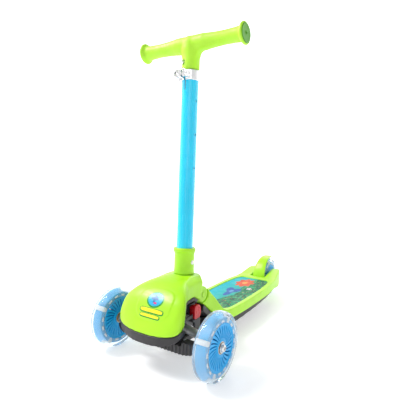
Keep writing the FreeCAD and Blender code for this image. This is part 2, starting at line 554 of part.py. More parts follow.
hanger_joined = fuse("hanger_joined", hanger_boss, *arms)
node("axle_hanger", cut("hanger_solid", hanger_joined, king_bore, *bush_rooms, *axle_holes))

# ribbed cover under the axle, from one wheel to the other
COVER_FRONT = [(33, 58), (36, 74), (41, 86), (47, 94), (57, 96)]
cover_blank = extrude("cover_blank", outline("cover_sketch", "XZ", COVER_FRONT), (0, -1, 0), -1, 17)
cover_top = box("cover_top", (-58, 58), (-20, 4), (49.5, 60))
RIB_PITCH = 8.0
rib_gaps = [box("rib_gap_%d" % i, ("%g" % (RIB_PITCH * (i - 10.5) + 1.6), "%g" % (RIB_PITCH * (i - 10.5) + 6.4)), (-18, -15), (30, 60))
            for i in range(22)]
node("axle_cover", cut("cover_solid", cover_blank, cover_top, hanger_joined, *rib_gaps))
for word, sign in (("left", "-"), ("right", "")):
    bolt = [("%s90" % sign, 0), ("%s90" % sign, "@axle_r"), ("%s131.3" % sign, "@axle_r"), ("%s131.3" % sign, 8.5),
            ("%s132.6" % sign, 8.5), ("%s132.8" % sign, 6.6), ("%s135.6" % sign, 6.6), ("%s136.9" % sign, 4.6),
            ("%s137.3" % sign, 0)]
    wheel_node(word + "_axle_bolt", turned_x(word + "_bolt_solid", bolt), 0, "0", "@front_wheel_r")

# ---------------------------------------------------------------- fold latch
latch_case = cut("latch_case", box("latch_blank", (15, 34), (39, 61), (76, 102.5)),
                 box("latch_pocket", (18, 40), (43.6, 56.4), (80.6, 98.4)),
                 rod_x("latch_clear", "@knuckle_r+0.6", (0, 50), "@hinge_y", "@hinge_z"))
node("latch_housing", latch_case)
BUTTON_SIDE = [(39, 78), (39, 97), (43, 102), (55, 102), (60, 96), (61, 84), (57, 77), (43, 76)]
button = fuse("button_solid",
              extrude("button_cap", polygon("button_sketch", "YZ", BUTTON_SIDE), (1, 0, 0), 40.5, 48),
              box("button_stem", (26.5, 42), (44, 56), (81, 98)))
node("latch_button", button)
LATCH_COIL = [turned_x("latch_coil_%d" % i, [(a, 3), (a, 4.2), (a + 0.7, 4.2), (a + 0.7, 3)])
              for i, a in enumerate((18.1, 19.2))]
wheel_node("latch_spring", fuse("latch_spring_solid", *LATCH_COIL), 0, "50", 89.5)

# ---------------------------------------------------------------- steering tube and collar
tube_blank = turned_z("tube_blank", [("@tube_r-@tube_wall", "@tube_foot_s"), ("@tube_r", "@tube_foot_s"),
                                     ("@tube_r", "@tube_top_s"), ("@tube_r-@tube_wall", "@tube_top_s")])
tube_slot = box("tube_slot", (-1.4, 1.4), (-30, 0), (512.7, 560))
height_holes = [rod_x("height_hole_%d" % i, "@hole_r", (0, 30), 0, "@top_hole_s-%d*@height_step" % i) for i in range(3)]
tube_node("steering_tube", cut("tube_solid", tube_blank, tube_slot, *height_holes))
COLLAR = [(0, "@collar_foot_s"), ("@collar_r+1", "@collar_foot_s"), ("@collar_r+0.2", "@collar_foot_s+5"),
          ("@collar_r", "@collar_foot_s+14"), ("@collar_r", "@collar_top_s-11"), ("@collar_lip_r-0.6", "@collar_top_s-8"),
          ("@collar_lip_r", "@collar_top_s-6.5"), ("@collar_lip_r", "@collar_top_s-2"),
          ("@collar_lip_r-0.8", "@collar_top_s-0.6"), ("@collar_lip_r-2", "@collar_top_s"), ("@tube_r", "@collar_top_s"),
          ("@tube_r", "@tube_foot_s"), (0, "@tube_foot_s")]
tube_node("steering_collar", cut("collar_solid", turned_z("collar_blank", COLLAR),
                                 rod_x("collar_screw_hole", 3, (10, 30), 0, 177)))
collar_screw = turned_x("collar_screw_blank", [(16.8, 0), (16.8, 2.9), (19.4, 2.9), (19.4, 4.6), (20.6, 4.3), (21.4, 3), (21.6, 0)])
tube_node("collar_screw", cut("collar_screw_solid", place(collar_screw, (0, 0, 177)),
                              box("screw_slot", (20.6, 23), (-4, 4), (176.4, 177.6))))

# ---------------------------------------------------------------- clamp
band_blank = turned_z("band_blank", [("@tube_r", 531), ("@tube_r+2.2", 531), ("@tube_r+2.8", 532), ("@tube_r+2.8", 550),
                                     ("@tube_r+2.2", 551), ("@tube_r", 551)])
band_ears = [box("band_ear_%d" % i, xs, (-30, -15), (534, 548)) for i, xs in enumerate(((-8, -2), (2, 8)))]
band_gap = box("band_gap", (-1.9, 1.9), (-40, 0), (520, 560))
band_room = rod_z("band_room", "@tube_r", 0, 0, (500, 580))
band_bolt_hole = rod_x("band_bolt_hole", 3, (-20, 20), -24.5, 541)
tube_node("clamp_band", cut("band_solid", fuse("band_joined", band_blank, *band_ears), band_gap, band_room, band_bolt_hole))
CLAMP_BOLT = [(-14, 0), (-14, 3), (13, 3), (13, 0)]
clamp_bolt = place(turned_x("clamp_bolt_solid", CLAMP_BOLT), (0, -24.5, 541))
cross_pin = rod_z("cross_pin", 2.5, -14, -24.5, (533.6, 548.4))
tube_node("clamp_bolt", fuse("clamp_bolt_joined", clamp_bolt, cross_pin))
clamp_nut = turned_x("clamp_nut_blank", [(8.2, 3), (8.2, 6.6), (9.2, 7), (12.4, 7), (13.4, 6), (13.4, 3)])
tube_node("clamp_nut", carried("clamp_nut_carrier", place(clamp_nut, (0, -24.5, 541))))
LEVER_ARC = [(-10.4, -28.5), (-14, -30), (-18.5, -28.5), (-22.5, -25), (-26, -16), (-27.6, -5), (-27.4, 6), (-25.4, 15),
             (-22, 19.5), (-19.8, 18.2), (-22.6, 11), (-23.6, 3), (-23.4, -6), (-21.6, -13), (-17.6, -18.6),
             (-10.4, -20.5)]
lever_plate = extrude("lever_plate", polygon("lever_sketch", "XY", LEVER_ARC), (0, 0, 1), 534, 548)
lever_slit = box("lever_slit", (-21, -5), (-34, -17.5), (537.6, 544.4))
lever_bore = rod_z("lever_bore", "2.5+@running_gap", -14, -24.5, (530, 550))
tube_node("clamp_lever", cut("lever_solid", lever_plate, lever_slit, lever_bore))

# ---------------------------------------------------------------- handlebar
GRIP = [("@bar_half-86", "@stem_r-1.6"), ("@bar_half-80", "@grip_end_r"), ("@bar_half-60", "@grip_mid_r+0.5"),
        ("@bar_half-40", "@grip_mid_r"), ("@bar_half-20", "@grip_mid_r+0.6"), ("@bar_half-10", "@grip_end_r-0.6"),
        ("@bar_half-7", "@grip_end_r+1.2"), ("@bar_half-4.5", "@flange_r-1"), ("@bar_half-3", "@flange_r"),
        ("@bar_half-0.8", "@flange_r"), ("@bar_half", "@flange_r-0.8"), ("@bar_half", 0)]
BAR = [("-(%s)" % u, v) for u, v in reversed(GRIP)] + GRIP
bar = place(turned_x("bar_solid", BAR), (0, 0, "@bar_s"))
STEM = [(0, "@stem_foot_s+12"), (14.4, "@stem_foot_s+12"), (14.4, "@stem_foot_s"), ("@stem_r-0.8", "@stem_foot_s"),
        ("@stem_r", "@stem_foot_s+1"), ("@stem_r", "@bar_s-24"), ("@stem_r+1", "@bar_s-17"), ("@stem_r+2", "@bar_s-12"),
        ("@stem_r+1", "@bar_s+2"), (12, "@bar_s+13"), (0, "@bar_s+15.5")]
stem = turned_z("stem_solid", STEM)
GUSSET_R = 14.0
gusset_side = [("@stem_r+%.3f" % (GUSSET_R * (1 - math.sin(a))), "@bar_s-12.6-%.3f" % (GUSSET_R * (1 - math.cos(a))))
               for a in (math.radians(15 * k) for k in range(7))]
gusset = extrude("gusset", polygon("gusset_sketch", "XZ", [("-(%s)" % u, v) for u, v in gusset_side]
                                   + [(u, v) for u, v in reversed(gusset_side)]), (0, -1, 0), -9, 9)
button_room = spun("stem_button_room", box("stem_button_cut", (-4.2, 4.2), (-30, -13.2),
                                           ("@stem_foot_s+9.4", "@stem_foot_s+17.8")), "@snap_turn")
stem_socket = rod_z("stem_socket", 14.4, 0, 0, ("@stem_foot_s-1", "@stem_foot_s+38"))
cap_sockets = [rod_x("cap_socket_%d" % i, 6, xs, 0, "@bar_s") for i, xs in enumerate((("@bar_half-12", "@bar_half+1"),
                                                                                     ("-(@bar_half+1)", "-(@bar_half-12)")))]
tube_node("handlebar", cut("handlebar_solid", fuse("handlebar_joined", bar, stem, gusset), button_room, stem_socket, *cap_sockets))
caps = []
for word, sign in (("left", "-"), ("right", "")):
    cap = [("%s(@bar_half-11)" % sign, 0), ("%s(@bar_half-11)" % sign, 6), ("%s@bar_half" % sign, 6),
           ("%s(@bar_half+0.1)" % sign, 17), ("%s(@bar_half+1.4)" % sign, 16), ("%s(@bar_half+1.8)" % sign, 3),
           ("%s(@bar_half+0.8)" % sign, 2.2), ("%s(@bar_half+0.8)" % sign, 0)]
    caps.append(place(turned_x("cap_" + word, cap), (0, 0, "@bar_s")))
tube_node("grip_end_caps", fuse("caps_solid", *caps))
inner_blank = turned_z("inner_blank", [(12.4, "@inner_foot_s"), ("@tube_r-@tube_wall-@running_gap", "@inner_foot_s"),
                                       ("@tube_r-@tube_wall-@running_gap", "@stem_foot_s-1"), (14.4, "@stem_foot_s-1"),
                                       (14.4, "@stem_foot_s+37.5"), (12.4, "@stem_foot_s+37.5")])
inner_hole = rod_x("inner_detent_hole", 2.4, (0, 30), 0, "@top_hole_s-3*@height_step")
inner_room = spun("inner_button_room", box("inner_button_cut", (-4.2, 4.2), (-30, -8),
                                           ("@stem_foot_s+9.4", "@stem_foot_s+17.8")), "@snap_turn")
tube_node("inner_tube", cut("inner_solid", inner_blank, inner_hole, inner_room))
detent = turned_x("detent_blank", [(9, 0), (9, 3.6), (11.6, 3.6), (11.8, 2.3), (13.8, 2.3), (14.3, 1.2), (14.4, 0)])
tube_node("height_detent", carried("detent_carrier", place(detent, (0, 0, "@top_hole_s-3*@height_step"))))
button_profile = [(0, 8.6), (6, 8.6), (6, 10.4), (3.7, 10.4), (3.7, 19.2), (2.6, 20.6), (0, 21)]
stem_button = place(turned_z("stem_button_blank", button_profile), (0, 0, "@stem_foot_s+13.6"), (1, 0, 0), 90)
tube_node("stem_button", carried("stem_button_carrier", spun("stem_button_turned", stem_button, "@snap_turn")))

# deck screws stand last in the list, being identical fasteners
node("deck_screws", fuse("deck_screws_solid", *screws))

# ---------------------------------------------------------------- build, check, write
doc.recompute()
bad = []
for obj in doc.Objects:
    if "Invalid" in obj.State or "Error" in obj.State:
        bad.append("%s: %s" % (obj.Name, obj.State))
for name, obj in NODES:
    if obj.Shape.isNull() or not obj.Shape.isValid() or not obj.Shape.Solids:
        bad.append("%s has no valid solid" % name)
if bad:
    raise RuntimeError("; ".join(bad[:20]))
for name, obj in NODES:
    obj.Shape.exportStep("parts/%s.step" % name)
print("wrote %d sub-parts" % len(NODES))
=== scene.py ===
import json
import math

import bmesh
import bpy
import numpy as np
from mathutils import Matrix, Vector
from mathutils.bvhtree import BVHTree


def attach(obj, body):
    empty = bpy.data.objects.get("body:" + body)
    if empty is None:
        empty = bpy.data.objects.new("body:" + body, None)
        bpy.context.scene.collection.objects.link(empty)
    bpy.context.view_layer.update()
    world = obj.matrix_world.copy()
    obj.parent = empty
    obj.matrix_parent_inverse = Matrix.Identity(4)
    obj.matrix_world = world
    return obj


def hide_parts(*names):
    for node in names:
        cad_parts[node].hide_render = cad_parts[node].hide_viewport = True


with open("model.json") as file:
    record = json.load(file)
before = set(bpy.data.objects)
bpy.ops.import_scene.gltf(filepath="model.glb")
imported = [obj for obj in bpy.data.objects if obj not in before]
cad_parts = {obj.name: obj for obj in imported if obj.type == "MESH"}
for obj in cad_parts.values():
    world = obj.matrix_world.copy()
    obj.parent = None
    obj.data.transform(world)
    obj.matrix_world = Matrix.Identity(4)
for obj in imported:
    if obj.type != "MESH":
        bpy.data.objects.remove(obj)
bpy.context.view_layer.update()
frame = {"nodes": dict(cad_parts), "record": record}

# ------------------------------------------------------------------ driving sizes, millimetres
CENTRE_Y = 236.0          # front axle to the middle of the scooter, which is the row's origin
TUBE_FOOT_Y = 60.9        # where the steering tube's axis meets the ground
TUBE_LEAN = math.radians(3.33)
FRONT_R, REAR_R = 60.0, 50.0
TRACK_HALF, REAR_AXLE_Y = 120.0, 482.0
TYRE_HALF = 12.0
BAR_S, BAR_HALF = 602.9, 118.0
COLLAR_FOOT_S, COLLAR_TOP_S, COLLAR_R = 153.8, 205.5, 20.0
HINGE_Y, HINGE_Z = 76.0, 115.0
FENDER_IN = 54.5
FENDER_PIVOT_Y, FENDER_PIVOT_Z = 424.0, 49.0
FENDER_BOSS_HALF, FENDER_BOSS_R, FENDER_PIN_R = 19.3, 4.5, 2.6
HINGE_FACE = 42.9         # half the width of the hood over the fold pin
VANES = 28


def row(x, y, z):
    """A point given from the front axle's place on the ground, in the row frame."""
    return Vector((x, y - CENTRE_Y, z)) / 1000.0


def around(place, along, reach, angle):
    """A point at a radius and angle about the local X axis of a place, in millimetres."""
    return place @ (Vector((along, reach * math.cos(angle), reach * math.sin(angle))) / 1000.0)


def facing(place, side):
    """A place turned about Z to point along -X when the side is -1."""
    return place @ (Matrix.Rotation(math.pi, 4, "Z") if side < 0 else Matrix.Identity(4))


def outward(distance):
    """A step along local Z, from a wheel's axis towards its tread."""
    return Matrix.Translation((0, 0, distance / 1000.0))


TUBE_FRAME = Matrix.Translation(row(0, TUBE_FOOT_Y, 0)) @ Matrix.Rotation(-TUBE_LEAN, 4, "X")


# ------------------------------------------------------------------ node graphs
class Graph:
    """A material under construction: a Principled shader and short ways to feed it."""

    def __init__(self, name, **sockets):
        self.mat = bpy.data.materials.new(name)
        self.mat.use_nodes = True
        self.nodes, self.links = self.mat.node_tree.nodes, self.mat.node_tree.links
        self.shader = next(n for n in self.nodes if n.type == "BSDF_PRINCIPLED")
        for key, value in sockets.items():
            self.shader.inputs[key.replace("_", " ")].default_value = value
        self.place = self.nodes.new("ShaderNodeTexCoord").outputs["Object"]

    def put(self, value, socket):
        if isinstance(value, bpy.types.NodeSocket):
            self.links.new(value, socket)
        else:
            socket.default_value = value

    def feed(self, name, value):
        self.put(value, self.shader.inputs[name])

    def math(self, kind, a, b=0.0, clamp=False):
        node = self.nodes.new("ShaderNodeMath")
        node.operation, node.use_clamp = kind, clamp
        self.put(a, node.inputs[0])
        self.put(b, node.inputs[1])
        return node.outputs[0]

    def scaled(self, factors, vector=None):
        node = self.nodes.new("ShaderNodeVectorMath")
        node.operation = "MULTIPLY"
        self.put(vector or self.place, node.inputs[0])
        node.inputs[1].default_value = factors
        return node.outputs[0]

    def split(self, vector=None):
        node = self.nodes.new("ShaderNodeSeparateXYZ")
        self.put(vector or self.place, node.inputs[0])
        return node.outputs

    def noise(self, scale, detail=2.0, roughness=0.5, vector=None, distortion=0.0):
        node = self.nodes.new("ShaderNodeTexNoise")
        node.inputs["Scale"].default_value = scale
        node.inputs["Detail"].default_value = detail
        node.inputs["Roughness"].default_value = roughness
        node.inputs["Distortion"].default_value = distortion
        self.put(vector or self.place, node.inputs["Vector"])
        return node.outputs["Fac"]

    def cells(self, scale, feature="F1", vector=None, output="Distance"):
        node = self.nodes.new("ShaderNodeTexVoronoi")
        node.feature = feature
        node.inputs["Scale"].default_value = scale
        self.put(vector or self.place, node.inputs["Vector"])
        return node.outputs[output]

    def span(self, value, low, high, out_low=0.0, out_high=1.0):
        """value mapped from low..high to out_low..out_high, smoothly and clamped."""
        node = self.nodes.new("ShaderNodeMapRange")
        node.interpolation_type = "SMOOTHSTEP"
        self.put(value, node.inputs["Value"])
        for key, number in (("From Min", low), ("From Max", high), ("To Min", out_low), ("To Max", out_high)):
            node.inputs[key].default_value = number
        return node.outputs["Result"]

    def mix(self, factor, a, b):
        node = self.nodes.new("ShaderNodeMix")
        node.data_type = "RGBA"
        self.put(factor, node.inputs["Factor"])
        for value, socket in ((a, node.inputs[6]), (b, node.inputs[7])):
            self.put((*value, 1.0) if isinstance(value, tuple) else value, socket)
        return node.outputs[2]

    def edges(self, low, high):
        """Pointiness mapped smoothly from low to high: 1 on outward edges (rubbed edges on plastic) when high
        is above low, 1 in hollows (painted shade on metal) when low is above high.
        """
        point = self.nodes.new("ShaderNodeNewGeometry").outputs["Pointiness"]
        return self.span(point, low, high)

    def bump(self, height, depth, strength=1.0, under=None):
        """Relief of a depth in millimetres."""
        node = self.nodes.new("ShaderNodeBump")
        node.inputs["Strength"].default_value = strength
        node.inputs["Distance"].default_value = depth / 1000.0
        self.put(height, node.inputs["Height"])
        if under is not None:
            self.put(under, node.inputs["Normal"])
        return node.outputs["Normal"]


def tint(colour, factor):
    return tuple(min(1.0, c * factor) for c in colour)


def plastic(name, colour, roughness=0.36, grain=900.0, grain_depth=0.03, swirl=0.05, gloss=0.5):
    """Moulded plastic: slight flow marks in its colour, fine grain, rubbed edges and hairline scuffs."""
    g = Graph(name, Specular_IOR_Level=gloss)
    flow = g.noise(14.0, 3.0, 0.55, distortion=0.6)
    body = g.mix(g.span(flow, 0.35, 0.65), tint(colour, 1 - swirl), tint(colour, 1 + swirl))
    worn = g.math("MULTIPLY", g.edges(0.53, 0.62), g.noise(90.0, 3.0))
    g.feed("Base Color", g.mix(g.math("MULTIPLY", worn, 0.35), body, tint(colour, 1.35)))
    scuffs = g.noise(60.0, 4.0, 0.65, g.scaled((1.0, 6.0, 1.0)))
    g.feed("Roughness", g.span(scuffs, 0.35, 0.7, roughness - 0.06, roughness + 0.1))
    fine = g.bump(g.noise(grain, 2.0, 0.6), grain_depth)
    g.feed("Normal", g.bump(g.noise(45.0, 1.0), 0.12, 0.35, fine))
    return g.mat


def grip_rubber(name, colour):
    """Soft grip: raised dots over the moulded body, matte and slightly uneven."""
    g = Graph(name, Specular_IOR_Level=0.4)
    dots = g.span(g.cells(620.0), 0.12, 0.42, 1.0, 0.0)
    flow = g.noise(18.0, 2.0)
    body = g.mix(g.span(flow, 0.35, 0.65), tint(colour, 0.95), tint(colour, 1.05))
    g.feed("Base Color", g.mix(g.math("MULTIPLY", dots, 0.16), body, tint(colour, 1.25)))
    g.feed("Roughness", g.span(g.noise(70.0, 3.0), 0.35, 0.7, 0.42, 0.6))
    place = g.split()
    along = g.math("ABSOLUTE", place[0])
    where = g.math("MULTIPLY", g.span(along, 0.026, 0.036), g.span(along, 0.108, 0.112, 1.0, 0.0))
    g.feed("Normal", g.bump(g.math("MULTIPLY", dots, where), 0.22))
    return g.mat


def paint(name, colour, roughness=0.22):
    """Powder-coated tube: orange peel under a clear gloss, with fine vertical hairlines."""
    g = Graph(name, Coat_Weight=0.6, Coat_Roughness=0.12, Specular_IOR_Level=0.5)
    g.feed("Base Color", g.mix(g.span(g.noise(9.0), 0.35, 0.65), tint(colour, 0.96), tint(colour, 1.04)))
    lines = g.noise(240.0, 3.0, 0.6, g.scaled((1.0, 1.0, 0.03)))
    g.feed("Roughness", g.span(lines, 0.4, 0.75, roughness, roughness + 0.16))
    g.feed("Normal", g.bump(g.noise(420.0, 1.0), 0.02, 0.6))
    return g.mat


def metal(name, colour, roughness, brushed=(1.0, 1.0, 1.0), scale=700.0, depth=0.012, grime_and_shade=0.25):
    """Plated or bare metal: brushing, handling marks, and painted shade that darkens its hollows."""
    g = Graph(name, Metallic=1.0)
    stain = g.span(g.noise(35.0, 4.0, 0.6), 0.45, 0.75)
    # painted shade: colour darkened in the hollows, where shade falls, mixed with real handling stains
    hollow = g.edges(0.5, 0.44)
    dirt_and_shade = g.math("MULTIPLY", g.math("MAXIMUM", stain, hollow), grime_and_shade)
    g.feed("Base Color", g.mix(dirt_and_shade, colour, tint(colour, 0.45)))
    grain = g.noise(scale, 3.0, 0.6, g.scaled(brushed))
    g.feed("Roughness", g.span(grain, 0.3, 0.7, max(0.04, roughness - 0.06), roughness + 0.12))
    g.feed("Normal", g.bump(grain, depth))
    return g.mat


def clear_rubber(name):
    """Clear polyurethane with a faint blue cast: slightly milky, with moulding ripples and dusty patches."""
    g = Graph(name, IOR=1.2, Specular_IOR_Level=0.6, Transmission_Weight=0.78)
    dust = g.span(g.noise(40.0, 4.0, 0.6), 0.45, 0.8)
    g.feed("Base Color", g.mix(dust, (0.90, 0.965, 1.0), (0.84, 0.93, 0.98)))
    g.feed("Roughness", g.math("ADD", g.math("MULTIPLY", dust, 0.12), 0.04))
    g.feed("Normal", g.bump(g.noise(55.0, 1.0), 0.15, 0.3))
    return g.mat


def cast(name, colour):
    """Sand-cast aluminium: pebbled skin, with patchy lighter and darker tone."""
    g = Graph(name, Metallic=0.55)
    g.feed("Base Color", g.mix(g.span(g.noise(50.0, 4.0), 0.4, 0.7), tint(colour, 0.85), tint(colour, 1.15)))
    g.feed("Roughness", g.span(g.noise(120.0, 3.0), 0.3, 0.7, 0.42, 0.6))
    g.feed("Normal", g.bump(g.noise(900.0, 3.0, 0.65), 0.06))
    return g.mat


def printed_mat(name):
    """The footboard's printed rubber: sky, a hill, flowers and dots over a fine non-slip grain."""
    g = Graph(name, Specular_IOR_Level=0.35)
    place = g.split()
    x, y = place[0], place[1]
    wobble = g.noise(38.0, 4.0, 0.6)
    drift = g.math("ADD", x, g.math("MULTIPLY", wobble, 0.02))
    sky = g.mix(g.span(drift, -0.04, 0.03), (0.0, 0.42, 0.50), (0.02, 0.38, 0.30))
    edge = g.math("ADD", g.math("MULTIPLY", g.math("SINE", g.math("MULTIPLY", y, 42.0)), 0.009),
                  g.math("MULTIPLY", g.noise(55.0, 3.0), 0.022))
    depth = g.math("SUBTRACT", x, g.math("SUBTRACT", edge, 0.004))
    leaves = g.cells(150.0, vector=g.scaled((1.0, 0.55, 1.0)))
    meadow = g.mix(g.span(leaves, 0.2, 0.7), (0.015, 0.26, 0.09), (0.01, 0.10, 0.06))
    meadow = g.mix(g.span(g.noise(90.0, 3.0), 0.52, 0.64), meadow, (0.04, 0.36, 0.16))
    art = g.mix(g.span(depth, -0.002, 0.002), sky, meadow)

    def polar(cx, cy, stretch):
        dx = g.math("SUBTRACT", x, cx)
        dy = g.math("MULTIPLY", g.math("SUBTRACT", y, cy), stretch)
        reach = g.math("SQRT", g.math("ADD", g.math("MULTIPLY", dx, dx), g.math("MULTIPLY", dy, dy)))
        return reach, g.math("ARCTAN2", dy, dx)

    def bloom(under, cx, cy, stretch, radius, petals, wave, colour, heart):
        reach, angle = polar(cx, cy, stretch)
        petal = g.math("SINE", g.math("MULTIPLY", angle, petals))
        rim = g.math("ADD", g.math("MULTIPLY", petal, wave), radius)
        inside = g.math("SUBTRACT", rim, reach)
        shade = g.mix(g.span(g.noise(160.0, 2.0), 0.4, 0.6), colour, tint(colour, 0.72))
        shown = g.mix(g.span(inside, -0.0006, 0.0006), under, shade)
        return g.mix(g.span(reach, radius * 0.34, radius * 0.26), shown, heart)

    art = bloom(art, -0.004, 0.040, 0.52, 0.0150, 3.0, 0.0055, (0.03, 0.13, 0.42), (0.10, 0.30, 0.55))
    art = bloom(art, -0.006, 0.118, 0.66, 0.0215, 8.0, 0.0030, (0.72, 0.10, 0.04), (0.80, 0.30, 0.05))
    art = bloom(art, 0.026, 0.078, 0.80, 0.0060, 5.0, 0.0014, (0.60, 0.58, 0.62), (0.70, 0.70, 0.72))
    confetti = g.cells(260.0)
    pick = g.cells(260.0, output="Color")
    hue = g.split(pick)[0]
    speck = g.math("MULTIPLY", g.span(confetti, 0.30, 0.24), g.span(hue, 0.72, 0.74))
    speck = g.math("MULTIPLY", speck, g.span(depth, 0.0, 0.004))
    art = g.mix(speck, art, g.mix(g.span(hue, 0.84, 0.86), (0.75, 0.28, 0.04), (0.55, 0.06, 0.04)))
    worn = g.span(g.noise(26.0, 4.0, 0.7), 0.62, 0.8)
    g.feed("Base Color", g.mix(g.math("MULTIPLY", worn, 0.18), art, (0.5, 0.55, 0.52)))
    g.feed("Roughness", g.span(g.noise(80.0, 3.0), 0.3, 0.7, 0.5, 0.68))
    grain = g.span(g.cells(950.0), 0.1, 0.5, 1.0, 0.0)
    g.feed("Normal", g.bump(grain, 0.12, 0.8))
    return g.mat


LIME = (0.40, 0.80, 0.016)
MATERIALS = {
    "lime_plastic": plastic("lime_plastic", LIME, 0.36),
    "dark_lime_plastic": plastic("dark_lime_plastic", (0.10, 0.36, 0.02), 0.45),
    "lime_grip": grip_rubber("lime_grip", (0.45, 0.84, 0.04)),
    "black_plastic": plastic("black_plastic", (0.022, 0.020, 0.023), 0.42, 700.0, 0.07, 0.12),
    "black_rubber": plastic("black_rubber", (0.02, 0.02, 0.02), 0.65, 500.0, 0.08, 0.1),
    "mat_print": printed_mat("mat_print"),
    "blue_tube": paint("blue_tube", (0.0, 0.62, 0.92)),
    "inner_steel": metal("inner_steel", (0.72, 0.72, 0.72), 0.28, (1.0, 1.0, 0.05)),
    "chrome": metal("chrome", (0.86, 0.86, 0.87), 0.12, grime_and_shade=0.3),
    "zinc": metal("zinc", (0.74, 0.74, 0.73), 0.3, grime_and_shade=0.35),
    "grey_cast": cast("grey_cast", (0.42, 0.42, 0.42)),
    "red_plastic": plastic("red_plastic", (0.62, 0.004, 0.012), 0.3),
    "clear_tyre": clear_rubber("clear_tyre"),
    "blue_core": plastic("blue_core", (0.0, 0.40, 0.80), 0.34),
    "white_module": plastic("white_module", (0.88, 0.89, 0.90), 0.4, 900.0, 0.02, 0.03),
    "blue_hub": plastic("blue_hub", (0.0, 0.36, 0.78), 0.36),
    "bearing_steel": metal("bearing_steel", (0.62, 0.60, 0.56), 0.3),
}
SEAL = plastic("tan_seal", (0.42, 0.24, 0.08), 0.5, 600.0, 0.05, 0.2)
PRINTS = {
    "ring": plastic("badge_green", (0.02, 0.30, 0.04), 0.3),
    "disc": plastic("badge_blue", (0.02, 0.42, 0.70), 0.3),
    "leaf": plastic("badge_leaf", (0.02, 0.16, 0.42), 0.3),
    "vein": plastic("badge_vein", (0.75, 0.04, 0.22), 0.3),
    "bar": plastic("badge_yellow", (0.85, 0.78, 0.02), 0.3),
}


# ------------------------------------------------------------------ mesh tools
def build(name, mesh_or_bm, slot, body, replaced=(), material=None):
    """An object of the scooter: made from a mesh, given its material, riding on its body."""
    if isinstance(mesh_or_bm, bmesh.types.BMesh):
        mesh = bpy.data.meshes.new(name)
        mesh_or_bm.to_mesh(mesh)
        mesh_or_bm.free()
    else:
        mesh = mesh_or_bm
    obj = bpy.data.objects.new(name, mesh)
    bpy.context.scene.collection.objects.link(obj)
    mesh.materials.clear()
    mesh.materials.append(material or MATERIALS[slot])
    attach(obj, body)
    if replaced:
        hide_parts(*replaced)
    return obj


def soften(mesh, sharp=35.0):
    """Smooth shading that keeps creases sharper than an angle."""
    bm = bmesh.new()
    bm.from_mesh(mesh)
    for face in bm.faces:
        face.smooth = True
    for edge in bm.edges:
        edge.smooth = len(edge.link_faces) == 2 and edge.calc_face_angle(0.0) < math.radians(sharp)
    bm.to_mesh(mesh)
    bm.free()
    return mesh


def relax(mesh, rounds, weight=None, factor=0.5):
    """Laplacian smoothing of a mesh, weighted by vertex."""
    co = np.zeros(len(mesh.vertices) * 3)
    mesh.vertices.foreach_get("co", co)
    co = co.reshape(-1, 3)
    ends = np.zeros(len(mesh.edges) * 2, int)
    mesh.edges.foreach_get("vertices", ends)
    a, b = ends.reshape(-1, 2).T
    count = np.bincount(np.concatenate([a, b]), minlength=len(co)).clip(1)[:, None]
    weight = np.full(len(co), 1.0) if weight is None else weight(co)
    for _ in range(rounds):
        total = np.zeros_like(co)
        for k in range(3):
            total[:, k] = np.bincount(a, co[b, k], len(co)) + np.bincount(b, co[a, k], len(co))
        co += factor * weight[:, None] * (total / count - co)
    mesh.vertices.foreach_set("co", co.ravel())
    mesh.update()
    return mesh


def fused(name, nodes, voxel, rounds, weight=None):
    """The CAD nodes as one soft-edged moulding: a voxel remesh of their union, then smoothed."""
    bm = bmesh.new()
    for node in nodes:
        bm.from_mesh(frame["nodes"][node].data)
    mesh = bpy.data.meshes.new(name + "_raw")
    bm.to_mesh(mesh)
    bm.free()
    return remeshed(name, mesh, voxel, rounds, weight)


def remeshed(name, mesh, voxel, rounds, weight=None):
    """A closed voxel skin round a mesh, relaxed so that its edges are rounded."""
    obj = bpy.data.objects.new(name + "_raw", mesh)
    bpy.context.scene.collection.objects.link(obj)
    remesh = obj.modifiers.new("remesh", "REMESH")
    remesh.mode, remesh.voxel_size = "VOXEL", voxel / 1000.0
    depsgraph = bpy.context.evaluated_depsgraph_get()
    result = bpy.data.meshes.new_from_object(obj.evaluated_get(depsgraph))
    result.name = name
    bpy.data.objects.remove(obj)
    relax(result, rounds)
    if weight:
        relax(result, 60, weight)
    result.polygons.foreach_set("use_smooth", [True] * len(result.polygons))
    return result


def lathe(bm, profile, matrix=Matrix.Identity(4), segments=96, closed=True):
    """A ring of revolution about local X from (along, radius) pairs in millimetres."""
    rings = []
    for k in range(segments):
        angle = math.tau * k / segments
        rings.append([bm.verts.new(around(matrix, u, r, angle)) for u, r in profile])
    count = len(profile)
    for k in range(segments):
        here, there = rings[k], rings[(k + 1) % segments]
        for i in range(count if closed else count - 1):
            j = (i + 1) % count
            bm.faces.new((here[i], here[j], there[j], there[i]))
    if not closed:
        for end, order in ((0, -1), (count - 1, 1)):
            cap = [ring[end] for ring in rings][::order]
            bm.faces.new(cap)
    return bm


def tidy(bm):
    bmesh.ops.remove_doubles(bm, verts=bm.verts, dist=1e-6)
    bmesh.ops.recalc_face_normals(bm, faces=bm.faces)
    return bm


def finished(bm, name, sharp=35.0):
    tidy(bm)
    mesh = bpy.data.meshes.new(name)
    bm.to_mesh(mesh)
    bm.free()
    return soften(mesh, sharp)


def rounded(points, radius, steps=4):
    """A closed (u, v) outline with each corner turned into an arc."""
    out = []
    count = len(points)
    for i in range(count):
        p, q, r = (Vector(points[(i + k) % count]) for k in (-1, 0, 1))
        back, ahead = (p - q), (r - q)
        cut = min(radius, 0.45 * back.length, 0.45 * ahead.length)
        start, end = q + back.normalized() * cut, q + ahead.normalized() * cut
        for k in range(steps + 1):
            t = k / steps
            out.append(tuple(start.lerp(q, t).lerp(q.lerp(end, t), t)))
    return out


